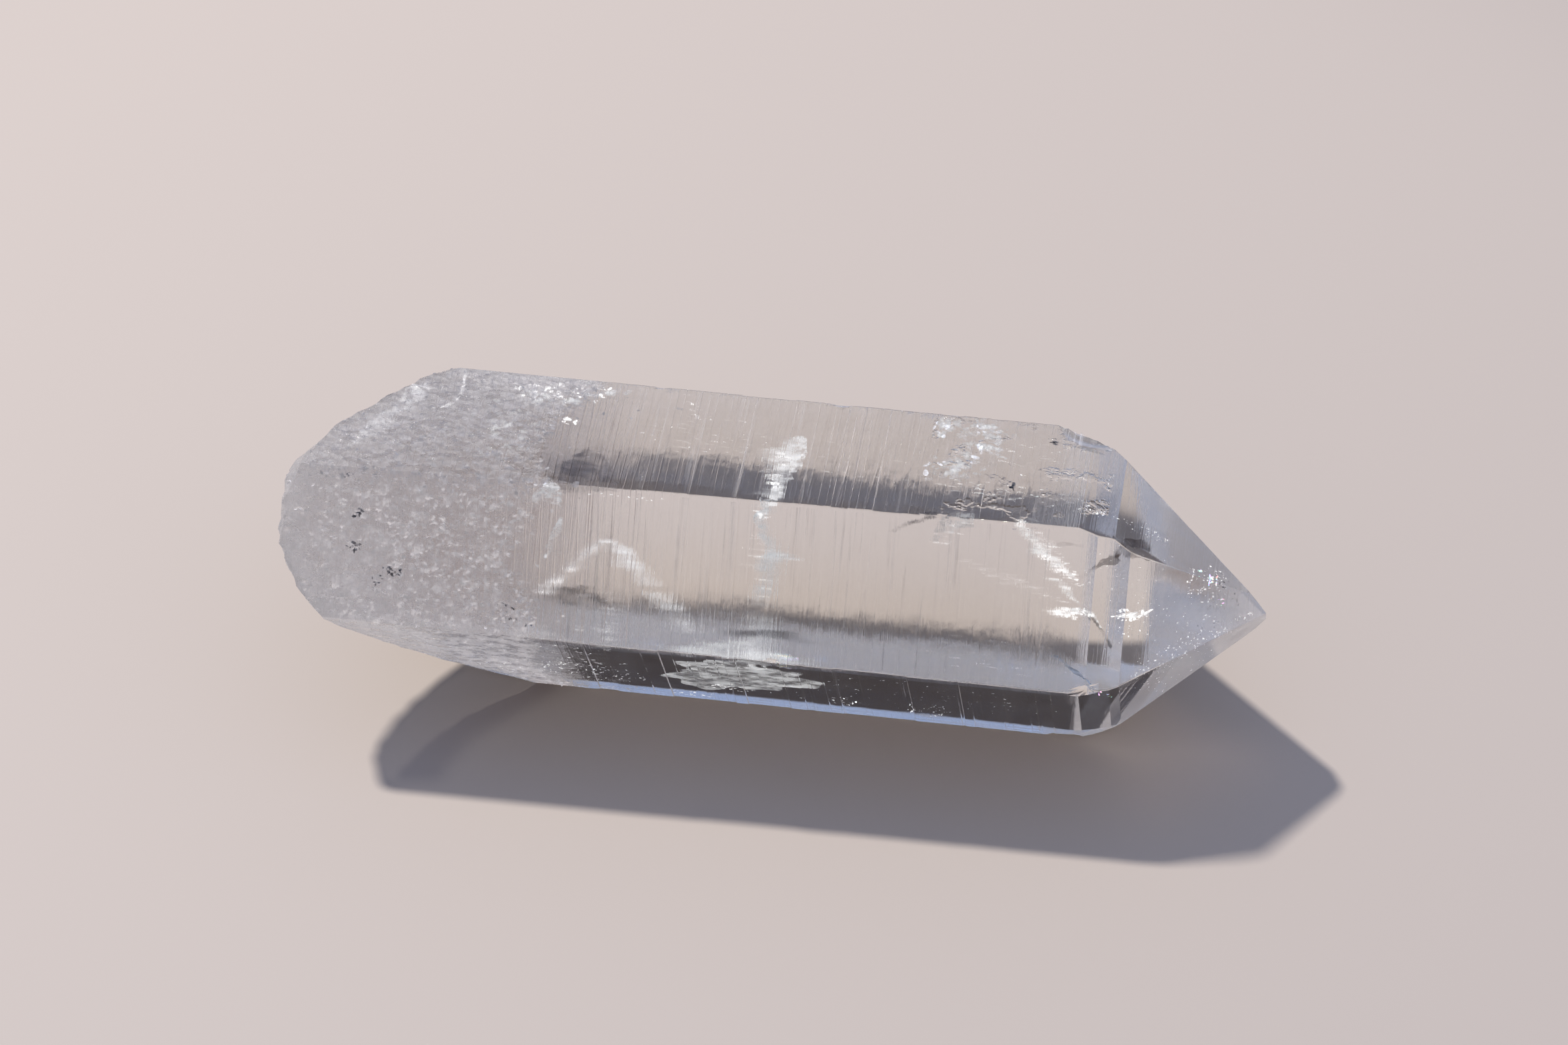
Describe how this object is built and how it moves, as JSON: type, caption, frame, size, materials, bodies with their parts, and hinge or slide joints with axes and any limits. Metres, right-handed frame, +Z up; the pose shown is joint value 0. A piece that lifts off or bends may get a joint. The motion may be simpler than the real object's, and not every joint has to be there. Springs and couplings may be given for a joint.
{
  "type": "quartz crystal",
  "caption": "Clear natural quartz point lying on a prism face, with a sharp faceted tip, striated prism faces and a broken, rounded, frosted base.",
  "frame": {"origin": "on the face that the crystal rests on, straight below the c-axis, 26 mm behind the tip", "axes": "+X along the crystal's c-axis towards the tip, +Z up, away from the face it rests on"},
  "size_m": [0.0511, 0.0174, 0.0158],
  "materials": {
    "clear_quartz": "polished natural faces, frosted at the base"
  },
  "bodies": {
    "root": {"quartz_crystal": "clear_quartz"}
  },
  "joints": []
}
